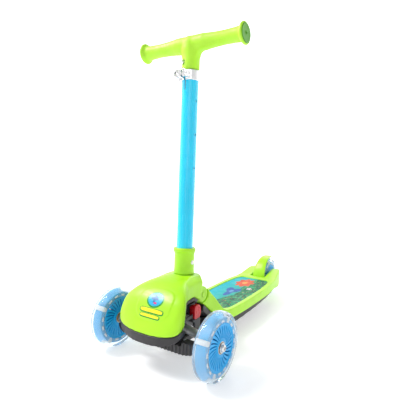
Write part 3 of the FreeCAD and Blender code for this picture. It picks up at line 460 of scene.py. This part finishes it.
def bar_block(bm, matrix, size, bevel):
    """A bevelled box about the origin of a matrix, sizes in millimetres."""
    part = bmesh.new()
    bmesh.ops.create_cube(part, size=1.0)
    bmesh.ops.scale(part, vec=Vector(size) / 1000.0, verts=part.verts)
    bmesh.ops.bevel(part, geom=part.edges[:], offset=bevel / 1000.0, segments=3, profile=0.5, affect="EDGES")
    bmesh.ops.transform(part, matrix=matrix, verts=part.verts)
    mesh = bpy.data.meshes.new("block")
    part.to_mesh(mesh)
    part.free()
    bm.from_mesh(mesh)
    bpy.data.meshes.remove(mesh)


# ------------------------------------------------------------------ wheels
def spin(angle):
    return Matrix.Rotation(math.radians(angle), 4, "X")


def fan_hub(bm, place, radius):
    """Rim, boss and the swept vanes between them."""
    rim_in, rim_out = radius - 22.6, radius - 18.05
    rim = [(-10.2, rim_in + 1.2), (-10.8, rim_in + 2.4), (-10.8, rim_out), (10.8, rim_out),
           (10.8, rim_in + 2.4), (10.2, rim_in + 1.2), (9.4, rim_in), (-9.4, rim_in)]
    lathe(bm, rounded(rim, 0.5), place, 112)
    boss = [(-10.9, 11.05), (-11.2, 12.2), (-10.6, 13.6), (-9.9, 16.4),
            (9.9, 16.4), (10.6, 13.6), (11.2, 12.2), (10.9, 11.05)]
    lathe(bm, rounded(boss, 0.5), place, 72)
    section = ((-9.6, -0.86), (-9.2, -1), (9.2, -1), (9.6, -0.86),
               (9.6, 0.86), (9.2, 1), (-9.2, 1), (-9.6, 0.86))
    steps = 8
    for k in range(VANES):
        rows = []
        for i in range(steps + 1):
            t = i / steps
            reach = 15.5 + (rim_in + 1.0 - 15.5) * t
            sweep = math.tau * k / VANES + math.radians(14.0) * t
            half = 1.12 + 0.0785 * (reach - 15.5) + 1.1 * max(0.0, t - 0.82) * 5.5
            corners = []
            for u, side in section:
                turn = sweep + (side * half + 0.1 * u) / reach
                corners.append(bm.verts.new(around(place, u, reach, turn)))
            rows.append(corners)
        for a, b in zip(rows, rows[1:]):
            for i in range(8):
                j = (i + 1) % 8
                bm.faces.new((a[i], a[j], b[j], b[i]))
        bm.faces.new(rows[0][::-1])
        bm.faces.new(rows[-1])
    return bm


def wheel(prefix, radius, centre, first_block, blocks=4, windows=3):
    body = prefix + "_wheel"
    place = Matrix.Translation(row(*centre))
    w = TYRE_HALF
    shoulder = [(0.7, 17.9), (0.0, 16.2), (0.0, 7.0), (0.7, 4.0), (2.4, 1.8), (5.2, 0.5), (8.5, 0.0)]
    tyre = [(-w + inset, radius - drop) for inset, drop in shoulder]
    tyre += [(w - inset, radius - drop) for inset, drop in shoulder[::-1]]
    bm = lathe(bmesh.new(), rounded(tyre, 1.6, 3), place, 144)
    name = prefix + "_tyre_clear"
    build(name, finished(bm, name, 60.0), "clear_tyre", body, [prefix + "_tyre"])
    core = rounded([(-8.4, radius - 17.6), (-8.4, radius - 10.2), (-7.6, radius - 9.7),
                    (7.6, radius - 9.7), (8.4, radius - 10.2), (8.4, radius - 17.6)], 0.6)
    bm = lathe(bmesh.new(), core, place, 144)
    name = prefix + "_core_band"
    build(name, finished(bm, name), "blue_core", body, [prefix + "_core_ring"])
    bm = bmesh.new()
    for k in range(blocks):
        turn = place @ spin(first_block + 360.0 * k / blocks)
        bar_block(bm, turn @ outward(radius - 10.9), (20.6, 8.6, 6.6), 0.8)
        bar_block(bm, turn @ outward(radius - 15.4), (18.6, 7.2, 3.0), 0.5)
        for side in (-1, 1):
            ring = turn @ Matrix.Translation((side * 0.0103, 0, (radius - 10.9) / 1000.0))
            lathe(bm, rounded([(-0.35, 1.2), (-0.35, 2.2), (0.35, 2.2), (0.35, 1.2)], 0.2, 2), ring, 24)
        for i in range(windows):
            step = 360.0 / blocks
            slot_turn = place @ spin(first_block + step * k + step * (0.5 + 0.245 * (i - 1)))
            bar_block(bm, slot_turn @ outward(radius - 15.0), (19.0, 8.4, 3.4), 0.6)
    name = prefix + "_lights"
    build(name, finished(bm, name), "white_module", body, [prefix + "_light_modules"])
    bm = fan_hub(bmesh.new(), place, radius)
    build(prefix + "_fan_hub", finished(bm, prefix + "_fan_hub", 30.0), "blue_hub", body, [prefix + "_hub"])
    bm = bmesh.new()
    for side in (-1, 1):
        flip = facing(place, side)
        lathe(bm, rounded([(4.2, 9.6), (4.2, 10.95), (10.9, 10.95), (10.9, 9.6)], 0.4), flip, 64)
        lathe(bm, rounded([(4.2, 4.06), (4.2, 5.6), (10.9, 5.6), (10.9, 4.06)], 0.4), flip, 64)
    name = prefix + "_bearing_rings"
    build(name, finished(bm, name), "bearing_steel", body, [prefix + "_bearings"])
    bm = bmesh.new()
    for side in (-1, 1):
        flip = facing(place, side)
        seal = [(5.0, 5.5), (5.0, 9.7), (10.2, 9.7), (10.5, 8.8),
                (10.2, 8.2), (10.2, 6.8), (10.5, 6.2), (10.2, 5.5)]
        lathe(bm, rounded(seal, 0.25, 2), flip, 64)
    name = prefix + "_bearing_seals"
    build(name, finished(bm, name), "bearing_steel", body, material=SEAL)


wheel("left", FRONT_R, (-TRACK_HALF, 0, FRONT_R), -35)
wheel("right", FRONT_R, (TRACK_HALF, 0, FRONT_R), -29)
wheel("rear", REAR_R, (0, REAR_AXLE_Y, REAR_R), 10)


def socket_screw(name, place, head, slot, body, replaced=()):
    """Domed screw head with a hexagon socket, along local +X; head is (start, height, radius, socket)."""
    start, height, radius, socket = head
    bm = bmesh.new()
    segments = 48
    profile = [(start, radius * 0.96), (start + 0.2, radius), (start + height * 0.45, radius)]
    for k in range(1, 8):
        a = math.radians(11.5 * k)
        profile.append((start + height * (0.45 + 0.55 * math.sin(a)), radius * (0.42 + 0.58 * math.cos(a))))
    rings = []
    for u, r in profile:
        rings.append([bm.verts.new(around(place, u, r, math.tau * k / segments)) for k in range(segments)])
    for a in range(segments):
        b = (a + 1) % segments
        for low, high in zip(rings, rings[1:]):
            bm.faces.new((low[a], low[b], high[b], high[a]))
    bm.faces.new(rings[0][::-1])
    top = start + height * 0.99

    def hexagon(u, scale):
        out = []
        for k in range(segments):
            a = math.tau * k / segments
            sector = (a % (math.pi / 3)) - math.pi / 6
            r = socket * scale * math.cos(math.pi / 6) / math.cos(sector)
            out.append(bm.verts.new(around(place, u, r, a)))
        return out

    lips = [rings[-1], hexagon(top, 1.0), hexagon(top - height * 0.55, 0.97)]
    for low, high in zip(lips, lips[1:]):
        for a in range(segments):
            b = (a + 1) % segments
            bm.faces.new((low[a], low[b], high[b], high[a]))
    bm.faces.new(lips[-1])
    return build(name, finished(bm, name), slot, body, replaced)


for side, word in ((1, "right"), (-1, "left")):
    flip = facing(Matrix.Translation(row(0, 0, FRONT_R)), side)
    socket_screw(word + "_axle_screw", flip, (132.2, 4.8, 6.4, 3.1), "zinc", "axle", [word + "_axle_bolt"])
    bm = bmesh.new()
    lathe(bm, rounded([(131.3, 4.1), (131.3, 8.4), (132.4, 8.4), (132.4, 4.1)], 0.3, 2), flip, 64)
    lathe(bm, rounded([(95.0, 1.0), (95.0, 3.98), (132.3, 3.98), (132.3, 1.0)], 0.4, 2), flip, 48)
    build(word + "_axle_washer", finished(bm, word + "_axle_washer"), "zinc", "axle")


# ------------------------------------------------------------------ mouldings from the CAD's solids
def blend_weight(centre, reach):
    """Full smoothing within reach of a point, none beyond it."""
    c = np.array(centre)
    return lambda co: np.clip(1.6 - 1.6 * np.linalg.norm(co - c, axis=1) / (reach / 1000.0), 0.0, 1.0)


def remould(name, nodes, slot, body, voxel, rounds, weight=None):
    return build(name, fused(name, nodes, voxel, rounds, weight), slot, body, nodes)


STEM_TOP = TUBE_FRAME @ (Vector((0, 0, BAR_S - 10.0)) / 1000.0)
remould("deck_moulding", ["deck_shell"], "lime_plastic", "deck", 1.2, 6)
remould("deck_belly", ["deck_underbody"], "black_plastic", "deck", 1.4, 6)
remould("neck_lining", ["neck_liner"], "black_plastic", "deck", 1.0, 4)
hood = remould("hood_moulding", ["hood_shield", "hood_core"], "lime_plastic", "front_unit", 1.1, 16)
remould("arch_lining", ["hood_liner"], "black_plastic", "front_unit", 0.9, 4)
remould("bumper_moulding", ["front_base"], "black_plastic", "front_unit", 1.0, 6)
remould("t_bar_moulding", ["handlebar"], "lime_grip", "t_bar", 0.8, 4, blend_weight(STEM_TOP, 34.0))
remould("hanger_casting", ["axle_hanger"], "grey_cast", "axle", 0.8, 8)
remould("ribbed_cover", ["axle_cover"], "black_plastic", "axle", 0.6, 2)
remould("bracket_casting", ["pivot_bracket"], "grey_cast", "front_unit", 0.8, 4)
remould("clamp_collar", ["clamp_band"], "chrome", "front_unit", 0.4, 4)
remould("clamp_handle_cast", ["clamp_lever"], "chrome", "clamp_handle", 0.4, 6)
remould("latch_case", ["latch_housing"], "black_plastic", "front_unit", 0.6, 4)
remould("latch_key", ["latch_button"], "red_plastic", "fold_latch", 0.5, 6)

# hood front: a slightly raised panel, and the round badge with two plain bars
BADGE = row(8.5, -26.5, 128.0)
OUT = Vector((0.0, -0.715, 0.70))
RISE = Vector((0.0, 0.70, 0.715))


def raise_panel(obj, height):
    """Lift the middle of the hood's face by a height in millimetres, inside a rounded outline."""
    for v in obj.data.vertices:
        away = (v.co - BADGE) * 1000.0
        if away.dot(OUT) < -16.0:
            continue
        u, w = away.x, away.dot(RISE) + 6.0
        reach = (abs(u / 37.0) ** 3.2 + abs(w / 30.0) ** 3.2) ** (1 / 3.2)
        t = min(1.0, max(0.0, (1.05 - reach) / 0.10))
        v.co += OUT * (height * t * t * (3 - 2 * t) / 1000.0)


PANEL_HEIGHT = 0.8
raise_panel(hood, PANEL_HEIGHT)
hood_skin = BVHTree.FromPolygons([v.co.copy() for v in hood.data.vertices],
                                 [tuple(f.vertices) for f in hood.data.polygons])


def decal(name, radius_at, at, proud, material, rings=8, segments=72):
    """Thin printed shape laid on the hood; radius_at(angle) is its outline about a point, in millimetres."""
    bm = bmesh.new()
    layers = []
    for lift in (proud, -0.5):
        grid = [[None] * segments for _ in range(rings + 1)]
        for i in range(rings + 1):
            for k in range(segments):
                angle = math.tau * k / segments
                reach = radius_at(angle) * i / rings
                start = BADGE + Vector((1, 0, 0)) * (at[0] + reach * math.cos(angle)) / 1000.0
                start += RISE * (at[1] + reach * math.sin(angle)) / 1000.0 + OUT * 0.04
                hit = hood_skin.ray_cast(start, -OUT)[0]
                grid[i][k] = bm.verts.new(hit + OUT * lift / 1000.0)
        layers.append(grid)
    for grid, flip in zip(layers, (False, True)):
        for low, high in zip(grid, grid[1:]):
            for k in range(segments):
                j = (k + 1) % segments
                face = (low[k], high[k], high[j], low[j])
                if len(set(face)) == 4:
                    bm.faces.new(face[::-1] if flip else face)
    top, bottom = layers[0][-1], layers[1][-1]
    for k in range(segments):
        j = (k + 1) % segments
        bm.faces.new((top[k], bottom[k], bottom[j], top[j]))
    bmesh.ops.remove_doubles(bm, verts=bm.verts, dist=1e-7)
    return build(name, finished(bm, name, 60.0), None, "front_unit", material=material)


def ellipse(a, b):
    return lambda t: a * b / math.hypot(b * math.cos(t), a * math.sin(t))


def slab(a, b, power=7.0):
    return lambda t: (abs(math.cos(t) / a) ** power + abs(math.sin(t) / b) ** power) ** (-1 / power)


PRINT_PROUD, SECOND_PROUD, THIRD_PROUD = 0.20, 0.34, 0.48   # each printed layer stands on the one below
decal("badge_ring", ellipse(18.5, 15.2), (0, 0), PRINT_PROUD, PRINTS["ring"])
decal("badge_disc", ellipse(15.4, 12.4), (0, 0.2), SECOND_PROUD, PRINTS["disc"])
decal("badge_leaf", lambda t: 8.2 * (0.72 + 0.28 * math.cos(4 * t)), (-1.5, 1.5), THIRD_PROUD, PRINTS["leaf"])
decal("badge_vein", ellipse(3.6, 1.8), (2.5, -6.5), THIRD_PROUD, PRINTS["vein"])
decal("bar_upper_ground", slab(26.5, 4.6), (0, -20.5), PRINT_PROUD, PRINTS["ring"])
decal("bar_upper", slab(24.5, 3.2), (-0.4, -20.1), SECOND_PROUD, PRINTS["bar"])
decal("bar_lower_ground", slab(22.5, 3.8), (-1, -29.5), PRINT_PROUD, PRINTS["ring"])
decal("bar_lower", slab(20.8, 2.4), (-1.4, -29.1), SECOND_PROUD, PRINTS["bar"])

# collar: turned, with a small foot on the hood and a rolled lip at the top
collar = [(COLLAR_FOOT_S, 16.6), (COLLAR_FOOT_S, COLLAR_R + 1.0), (COLLAR_FOOT_S + 4, COLLAR_R + 0.3),
          (COLLAR_FOOT_S + 12, COLLAR_R), (COLLAR_TOP_S - 13, COLLAR_R), (COLLAR_TOP_S - 9, COLLAR_R + 0.9),
          (COLLAR_TOP_S - 6.5, COLLAR_R + 2.15), (COLLAR_TOP_S - 2.5, COLLAR_R + 2.15),
          (COLLAR_TOP_S - 0.5, COLLAR_R + 1.0), (COLLAR_TOP_S, COLLAR_R - 1.5),
          (COLLAR_TOP_S - 0.4, 16.45), (COLLAR_TOP_S - 6, 16.42)]
UPRIGHT = TUBE_FRAME @ Matrix.Rotation(-math.pi / 2, 4, "Y")
bm = lathe(bmesh.new(), rounded(collar, 1.5, 4), UPRIGHT, 128)
collar_mesh = finished(bm, "collar_moulding", 50.0)
build("collar_moulding", collar_mesh, "lime_plastic", "front_unit", ["steering_collar"])

# plugs over the fold pin's ends
for side in (-1, 1):
    place = facing(Matrix.Translation(row(0, HINGE_Y, HINGE_Z)), side)
    plug = rounded([(HINGE_FACE + out, r) for out, r in
                    ((0, 0.6), (0, 4.6), (0.6, 5.6), (1.0, 5.2), (1.4, 3.4), (1.5, 0.6))], 0.2, 3)
    bm = lathe(bmesh.new(), plug, place, 48, closed=False)
    word = "right" if side > 0 else "left"
    build("fold_plug_" + word, finished(bm, "fold_plug", 50.0), "lime_plastic", "front_unit")


# rear fender: a fin over the tyre with a crowned back, joined to a boss on its pivot
def fender():
    """Sweep a crowned section round the rear axle, from the pivot over the tyre to a rounded tip."""
    stations, across = 40, 20
    first, last = math.radians(97.0), math.radians(-26.5)
    widths = [(97.0, 19.3), (80.0, 18.8), (62.0, 17.2), (45.0, 15.6), (28.0, 14.2), (10.0, 13.0),
              (-5.0, 12.0), (-16.0, 10.6), (-22.0, 8.8), (-26.5, 5.2)]
    bm = bmesh.new()
    rows = []
    for i in range(stations + 1):
        t = i / stations
        angle = first + (last - first) * t
        degrees = math.degrees(angle)
        half = float(np.interp(degrees, [w[0] for w in widths][::-1], [w[1] for w in widths][::-1]))
        thick = float(np.interp(degrees, [-26.5, -20.0, 0.0, 60.0, 97.0], [2.2, 3.2, 4.0, 4.2, 4.6]))
        ring = []
        for k in range(across + 1):
            u = -1 + 2 * k / across
            lift = thick * (1 - 0.55 * abs(u) ** 3.0) - 0.7 * max(0.0, abs(u) - 0.9) * 10 * 0.4
            ring.append((half * u, FENDER_IN + lift))
        for k in range(across + 1):
            u = 1 - 2 * k / across
            ring.append((0.965 * half * u, FENDER_IN + 0.02))
        rows.append([bm.verts.new(row(x, REAR_AXLE_Y - r * math.sin(angle), REAR_R + r * math.cos(angle)))
                     for x, r in ring])
    for a, b in zip(rows, rows[1:]):
        for k in range(len(a)):
            j = (k + 1) % len(a)
            bm.faces.new((a[k], a[j], b[j], b[k]))
    bm.faces.new(rows[0][::-1])
    bm.faces.new(rows[-1])
    tidy(bm)
    mesh = bpy.data.meshes.new("fender_fin")
    bm.to_mesh(mesh)
    bm.free()
    return mesh


fin = fender()
bm = bmesh.new()
bm.from_mesh(fin)
boss = [(-FENDER_BOSS_HALF, FENDER_PIN_R), (-FENDER_BOSS_HALF, FENDER_BOSS_R),
        (FENDER_BOSS_HALF, FENDER_BOSS_R), (FENDER_BOSS_HALF, FENDER_PIN_R)]
lathe(bm, boss, Matrix.Translation(row(0, FENDER_PIVOT_Y, FENDER_PIVOT_Z)), 64)
joined = bpy.data.meshes.new("fender_joined")
bm.to_mesh(joined)
bm.free()
fender_mesh = remeshed("fender_moulding", joined, 0.7, 10)
build("fender_moulding", fender_mesh, "lime_plastic", "brake", ["brake_fender"])

# grip end caps: dished discs with a central vent
for side in (-1, 1):
    place = facing(TUBE_FRAME @ outward(BAR_S), side)
    cap = rounded([(BAR_HALF + out, r) for out, r in
                   ((-9, 2.0), (-9, 5.9), (0.05, 5.9), (0.05, 17.2), (1.0, 17.2), (1.5, 15.6), (1.2, 12.0),
                    (0.9, 4.2), (1.4, 3.4), (1.4, 2.6), (0.4, 2.0))], 0.4, 3)
    word = "right" if side > 0 else "left"
    bm = lathe(bmesh.new(), cap, place, 96)
    build(word + "_grip_cap", finished(bm, word + "_grip_cap"), "dark_lime_plastic", "t_bar",
          ["grip_end_caps"] if side > 0 else ())

# ------------------------------------------------------------------ carried CAD nodes
SLOTS = {entry["node"]: entry["material_slot"] for entry in frame["record"]["subparts"]}
for name, obj in frame["nodes"].items():
    if not obj.hide_render:
        obj.data.materials.clear()
        obj.data.materials.append(MATERIALS[SLOTS[name]])

# ------------------------------------------------------------------ floor, light, camera
def stage_floor():
    """Pale floor that sweeps up behind into a wall, with painted light: it glows, faintly in front and
    brighter behind.
    """
    bm = bmesh.new()
    radius, reach, bend, wall = 1.2, 3.2, 12, 3.0
    profile = [(reach * k / 4, 0.0) for k in range(5)]
    for k in range(1, bend + 1):
        angle = math.radians(90 * k / bend)
        profile.append((reach + radius * math.sin(angle), radius * (1 - math.cos(angle))))
    profile.append((reach + radius, wall))
    turns = 64
    rings = [[bm.verts.new((r * math.cos(math.tau * k / turns), r * math.sin(math.tau * k / turns), z))
              for k in range(turns)] for r, z in profile[1:]]
    centre = bm.verts.new((0, 0, 0))
    for k in range(turns):
        j = (k + 1) % turns
        bm.faces.new((centre, rings[0][k], rings[0][j]))
        for low, high in zip(rings, rings[1:]):
            bm.faces.new((low[k], high[k], high[j], low[j]))
    for face in bm.faces:
        face.smooth = True
    mesh = bpy.data.meshes.new("floor")
    bm.to_mesh(mesh)
    bm.free()
    floor = bpy.data.objects.new("floor", mesh)
    bpy.context.scene.collection.objects.link(floor)
    g = Graph("glowing_floor", Roughness=0.9, Specular_IOR_Level=0.0, Emission_Color=(1, 1, 1, 1))
    place = g.split()
    behind = g.math("ADD", g.math("MULTIPLY", place[0], -0.54), g.math("MULTIPLY", place[1], 0.84))
    # painted light: the floor and wall glow like a lamp, faint in front of the scooter and brightest behind
    # it
    g.feed("Emission Strength", g.span(behind, -2.2, 2.5, 0.12, 0.85))
    g.feed("Base Color", g.mix(g.span(g.noise(1.5), 0.3, 0.7), (0.80, 0.80, 0.80), (0.82, 0.82, 0.82)))
    mesh.materials.append(g.mat)


def area_light(name, location, target, size, power):
    data = bpy.data.lights.new(name, "AREA")
    data.shape, data.size, data.energy = "DISK", size, power
    lamp = bpy.data.objects.new(name, data)
    bpy.context.scene.collection.objects.link(lamp)
    lamp.location = location
    lamp.rotation_euler = (Vector(target) - Vector(location)).to_track_quat("-Z", "Y").to_euler()


def set_camera():
    """The main viewpoint: low, in front of the scooter and to its +X side."""
    pan, tilt, roll = (math.radians(a) for a in (32.673, -5.883, 0.331))
    ahead = Vector((-math.sin(pan) * math.cos(tilt), math.cos(pan) * math.cos(tilt), math.sin(tilt)))
    right = Vector((math.cos(pan), math.sin(pan), 0.0))
    up = right.cross(ahead)
    right, up = (right * math.cos(roll) + up * math.sin(roll), up * math.cos(roll) - right * math.sin(roll))
    data = bpy.data.cameras.new("camera")
    data.sensor_width, data.lens = 36.0, 32.06
    camera = bpy.data.objects.new("camera", data)
    bpy.context.scene.collection.objects.link(camera)
    turn = Matrix((right, up, -ahead)).transposed().to_4x4()
    camera.matrix_world = Matrix.Translation(row(433.35, -517.22, 359.43)) @ turn
    bpy.context.scene.camera = camera


stage_floor()
area_light("key", (-1.25, -0.75, 1.9), (0, 0, 0.2), 0.9, 47.0)
area_light("fill", (1.2, -2.0, 1.0), (0, 0, 0.2), 1.4, 4.0)
area_light("back", (-0.5, 1.7, 1.8), (0, 0.1, 0.2), 1.2, 14.0)
world = bpy.data.worlds.new("studio")
world.use_nodes = True
world.node_tree.nodes["Background"].inputs["Color"].default_value = (1.0, 1.0, 1.0, 1.0)
world.node_tree.nodes["Background"].inputs["Strength"].default_value = 0.34
bpy.context.scene.world = world
bpy.context.scene.view_settings.view_transform = "Standard"
set_camera()
